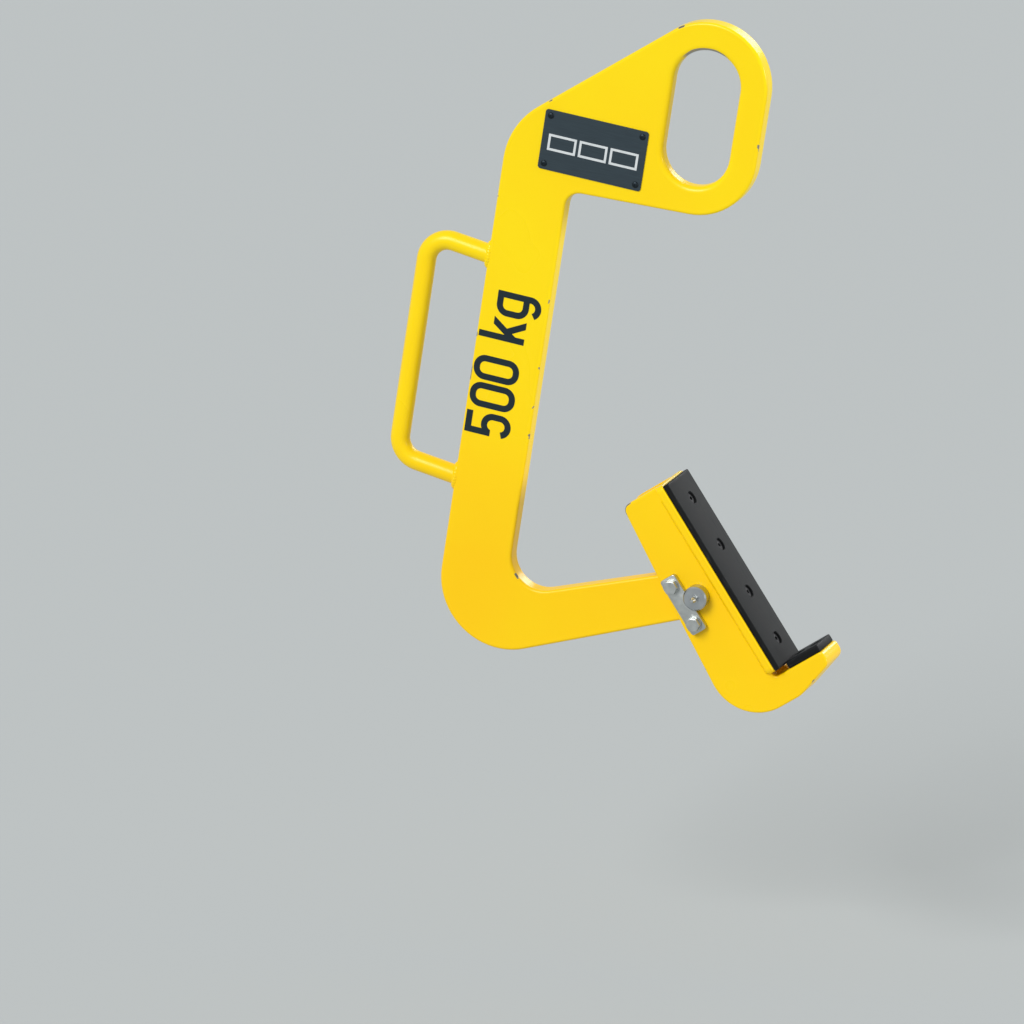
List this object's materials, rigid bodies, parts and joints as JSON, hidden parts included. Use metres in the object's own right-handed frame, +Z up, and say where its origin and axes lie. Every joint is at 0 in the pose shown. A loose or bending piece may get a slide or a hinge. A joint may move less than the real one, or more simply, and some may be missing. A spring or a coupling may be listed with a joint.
{
  "type": "coil tilting hook",
  "caption": "Plate hook hung from a slotted eye, with a guide handle on its shank and a pivoting L-shaped claw that carries a coil and lets it tilt.",
  "frame": {"origin": "centre of the eye slot's upper arc, on the plate's middle plane", "axes": "+Z up along the load line through the claw's pivot, +X from the shank towards the claw, +Y to the rear of the plate"},
  "size_m": [0.4753, 0.0796, 0.7042],
  "materials": {
    "yellow_enamel": "semi-gloss enamel",
    "sign": "dark printed sheet",
    "rivet": "bare",
    "bronze": "machined",
    "pad": "matt",
    "black_steel": "blackened",
    "pin_steel": "ground",
    "zinc_steel": "zinc plated"
  },
  "bodies": {
    "hook": {"hook_plate": "yellow_enamel", "handle_bar": "yellow_enamel", "handle_welds": "yellow_enamel", "rating_plate": "sign", "rating_plate_rivets": "rivet", "front_bush": "bronze", "rear_bush": "bronze"},
    "claw": {"front_cheek": "yellow_enamel", "rear_cheek": "yellow_enamel", "toe_block": "yellow_enamel", "pad_carrier": "yellow_enamel", "claw_welds": "yellow_enamel", "leg_pad": "pad", "leg_pad_screws": "black_steel", "toe_pad": "pad", "toe_pad_screws": "black_steel", "pivot_pin": "pin_steel", "pin_keeper": "zinc_steel", "keeper_bolts": "zinc_steel", "keeper_washers": "zinc_steel", "grease_nipple": "zinc_steel"}
  },
  "joints": [
    {"name": "claw_pivot", "type": "hinge", "parent": "hook", "child": "claw", "pos_m": [0, 0, -0.52315], "axis": [0, -1, 0], "range_deg": [-84, 66]}
  ]
}
